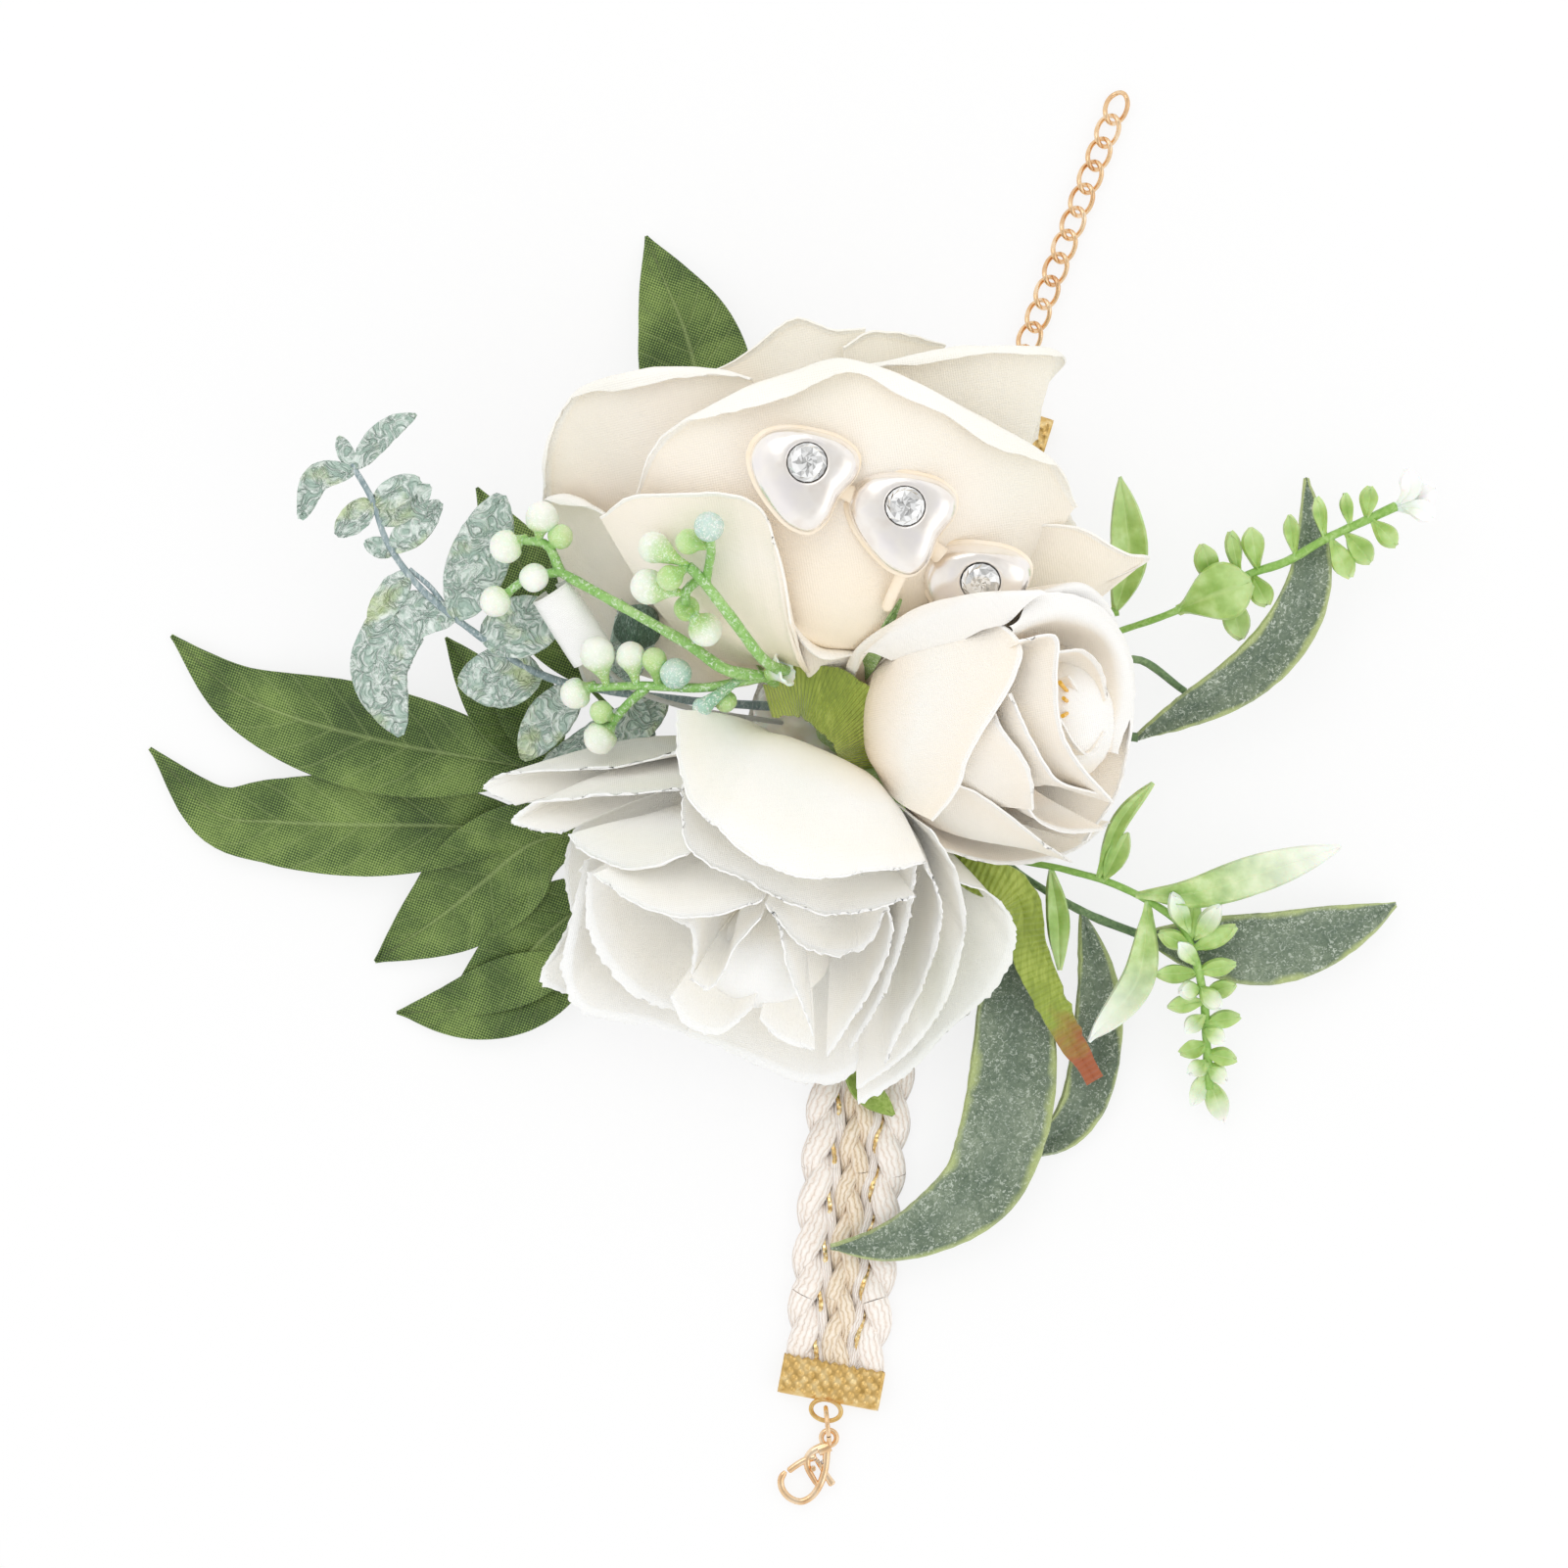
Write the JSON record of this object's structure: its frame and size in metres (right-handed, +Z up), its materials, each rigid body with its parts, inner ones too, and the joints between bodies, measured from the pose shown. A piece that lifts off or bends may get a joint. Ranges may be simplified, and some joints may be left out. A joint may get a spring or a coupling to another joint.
{
  "type": "wrist corsage",
  "caption": "Wrist corsage: cloth roses, leaves, berries and heart pearls on a braided band with a clamp and lobster clasp at one end and a curb chain at the other.",
  "frame": {"origin": "underside of the band, halfway along its middle length, where it lies on the wrist", "axes": "+Z up out of the wrist through the flowers, +Y along the table towards the chain's end"},
  "size_m": [0.1957, 0.2157, 0.0572],
  "materials": {
    "braided_cotton": "matt braided cotton cord",
    "antique_gold": "antique gold plating, knurled",
    "rose_gold": "polished light gold plating",
    "spring_steel": "plain spring wire",
    "white_felt": "matt felt",
    "hot_glue": "milky hot-melt glue",
    "heart_pearl": "pearl lustre",
    "clear_stone": "cut, silver-backed",
    "cream_petal": "matt silk cloth",
    "white_petal": "matt silk cloth",
    "ivory_petal": "matt silk cloth",
    "calyx_green": "moulded plastic",
    "dark_leaf_cloth": "printed cloth",
    "eucalyptus_sage": "frosted plastic",
    "berry_plastic": "satin plastic",
    "willow_grey": "frosted plastic",
    "boxwood_green": "satin plastic",
    "white_ribbon": "satin ribbon"
  },
  "bodies": {
    "bunch": {"strap_center": "braided_cotton", "felt_pad": "white_felt", "glue_mound": "hot_glue", "pearl_heart_1": "heart_pearl", "pearl_heart_2": "heart_pearl", "pearl_heart_3": "heart_pearl", "rhinestone_1": "clear_stone", "rhinestone_2": "clear_stone", "rhinestone_3": "clear_stone", "large_rose_bud": "cream_petal", "large_rose_inner_petals": "cream_petal", "large_rose_middle_petals": "cream_petal", "large_rose_outer_petals": "cream_petal", "white_rose_bud": "white_petal", "white_rose_inner_petals": "white_petal", "white_rose_middle_petals": "white_petal", "white_rose_outer_petals": "white_petal", "small_rose_bud": "ivory_petal", "small_rose_inner_petals": "ivory_petal", "small_rose_outer_petals": "ivory_petal", "large_rose_calyx": "calyx_green", "white_rose_calyx": "calyx_green", "small_rose_calyx": "calyx_green", "dark_leaf_spray_upper": "dark_leaf_cloth", "dark_leaf_spray_lower": "dark_leaf_cloth", "dark_leaf_top": "dark_leaf_cloth", "eucalyptus_sprig": "eucalyptus_sage", "berry_sprig_left": "berry_plastic", "berry_sprig_right": "berry_plastic", "willow_leaf_upper": "willow_grey", "willow_spray_lower": "willow_grey", "boxwood_sprig_upper": "boxwood_green", "boxwood_sprig_lower": "boxwood_green", "bud_leaf": "boxwood_green", "ribbon_loop": "white_ribbon"},
    "clasp_side_1": {"strap_clasp_side_1": "braided_cotton"},
    "clasp_side_2": {"strap_clasp_side_2": "braided_cotton"},
    "clasp_side_3": {"strap_clasp_side_3": "braided_cotton", "clasp_end_clamp": "antique_gold"},
    "clasp_ring": {"clasp_jump_ring": "rose_gold"},
    "clasp": {"lobster_clasp_body": "rose_gold", "lobster_clasp_pin": "rose_gold", "lobster_clasp_spring": "spring_steel"},
    "clasp_lever": {"lobster_clasp_lever": "rose_gold"},
    "chain_side_1": {"strap_chain_side_1": "braided_cotton"},
    "chain_side_2": {"strap_chain_side_2": "braided_cotton", "chain_end_clamp": "antique_gold"},
    "chain_ring": {"chain_jump_ring": "rose_gold"},
    "link_01": {"chain_link_01": "rose_gold"},
    "link_02": {"chain_link_02": "rose_gold"},
    "link_03": {"chain_link_03": "rose_gold"},
    "link_04": {"chain_link_04": "rose_gold"},
    "link_05": {"chain_link_05": "rose_gold"},
    "link_06": {"chain_link_06": "rose_gold"},
    "link_07": {"chain_link_07": "rose_gold"},
    "link_08": {"chain_link_08": "rose_gold"},
    "link_09": {"chain_link_09": "rose_gold"},
    "link_10": {"chain_link_10": "rose_gold"},
    "link_11": {"chain_link_11": "rose_gold"},
    "link_12": {"chain_link_12": "rose_gold"}
  },
  "joints": [
    {"name": "clasp_side_bend_1", "type": "hinge", "parent": "bunch", "child": "clasp_side_1", "pos_m": [-0.00493, -0.02685, 0], "axis": [0.9957, -0.0924, 0], "range_deg": [0, 50]},
    {"name": "clasp_side_bend_2", "type": "hinge", "parent": "clasp_side_1", "child": "clasp_side_2", "pos_m": [-0.00672, -0.04617, 0], "axis": [0.9957, -0.0924, 0], "range_deg": [0, 50]},
    {"name": "clasp_side_bend_3", "type": "hinge", "parent": "clasp_side_2", "child": "clasp_side_3", "pos_m": [-0.00851, -0.06549, 0], "axis": [0.9957, -0.0924, 0], "range_deg": [0, 50]},
    {"name": "clasp_ring_swing", "type": "hinge", "parent": "clasp_side_3", "child": "clasp_ring", "pos_m": [-0.01175, -0.09237, 0.0015], "axis": [0.9945, -0.1045, 0], "range_deg": [-8, 40]},
    {"name": "clasp_swivel", "type": "hinge", "parent": "clasp_ring", "child": "clasp", "pos_m": [-0.0113, -0.09662, 0.0013], "axis": [0, 0, 1], "range_deg": [-20, 20]},
    {"name": "clasp_lever_open", "type": "hinge", "parent": "clasp", "child": "clasp_lever", "pos_m": [-0.01368, -0.10124, 0.0013], "axis": [0, 0, 1], "range_deg": [0, 25], "stiffness_Nm_per_rad": 0.003},
    {"name": "chain_side_bend_1", "type": "hinge", "parent": "bunch", "child": "chain_side_1", "pos_m": [0.00493, 0.02685, 0], "axis": [-0.9542, 0.299, 0], "range_deg": [0, 50]},
    {"name": "chain_side_bend_2", "type": "hinge", "parent": "chain_side_1", "child": "chain_side_2", "pos_m": [0.00926, 0.04069, 0], "axis": [-0.9542, 0.299, 0], "range_deg": [0, 50]},
    {"name": "chain_ring_swing", "type": "hinge", "parent": "chain_side_2", "child": "chain_ring", "pos_m": [0.0159, 0.06187, 0.0015], "axis": [-0.9361, 0.3518, 0], "range_deg": [-6, 25]},
    {"name": "link_01_swing", "type": "hinge", "parent": "chain_ring", "child": "link_01", "pos_m": [0.01746, 0.06603, 0.0011], "axis": [0, 0, 1], "range_deg": [-15, 15]},
    {"name": "link_02_swing", "type": "hinge", "parent": "link_01", "child": "link_02", "pos_m": [0.01857, 0.06897, 0.0011], "axis": [-0.9361, 0.3518, 0], "range_deg": [-15, 15]},
    {"name": "link_03_swing", "type": "hinge", "parent": "link_02", "child": "link_03", "pos_m": [0.01989, 0.07248, 0.0011], "axis": [0, 0, 1], "range_deg": [-15, 15]},
    {"name": "link_04_swing", "type": "hinge", "parent": "link_03", "child": "link_04", "pos_m": [0.02121, 0.07599, 0.0011], "axis": [-0.9361, 0.3518, 0], "range_deg": [-15, 15]},
    {"name": "link_05_swing", "type": "hinge", "parent": "link_04", "child": "link_05", "pos_m": [0.02253, 0.0795, 0.0011], "axis": [0, 0, 1], "range_deg": [-15, 15]},
    {"name": "link_06_swing", "type": "hinge", "parent": "link_05", "child": "link_06", "pos_m": [0.02385, 0.08301, 0.0011], "axis": [-0.9361, 0.3518, 0], "range_deg": [-15, 15]},
    {"name": "link_07_swing", "type": "hinge", "parent": "link_06", "child": "link_07", "pos_m": [0.02517, 0.08652, 0.0011], "axis": [0, 0, 1], "range_deg": [-15, 15]},
    {"name": "link_08_swing", "type": "hinge", "parent": "link_07", "child": "link_08", "pos_m": [0.02649, 0.09003, 0.0011], "axis": [-0.9361, 0.3518, 0], "range_deg": [-15, 15]},
    {"name": "link_09_swing", "type": "hinge", "parent": "link_08", "child": "link_09", "pos_m": [0.02781, 0.09355, 0.0011], "axis": [0, 0, 1], "range_deg": [-15, 15]},
    {"name": "link_10_swing", "type": "hinge", "parent": "link_09", "child": "link_10", "pos_m": [0.02913, 0.09706, 0.0011], "axis": [-0.9361, 0.3518, 0], "range_deg": [-15, 15]},
    {"name": "link_11_swing", "type": "hinge", "parent": "link_10", "child": "link_11", "pos_m": [0.03045, 0.10057, 0.0011], "axis": [0, 0, 1], "range_deg": [-15, 15]},
    {"name": "link_12_swing", "type": "hinge", "parent": "link_11", "child": "link_12", "pos_m": [0.03177, 0.10408, 0.0011], "axis": [-0.9361, 0.3518, 0], "range_deg": [-15, 15]}
  ]
}
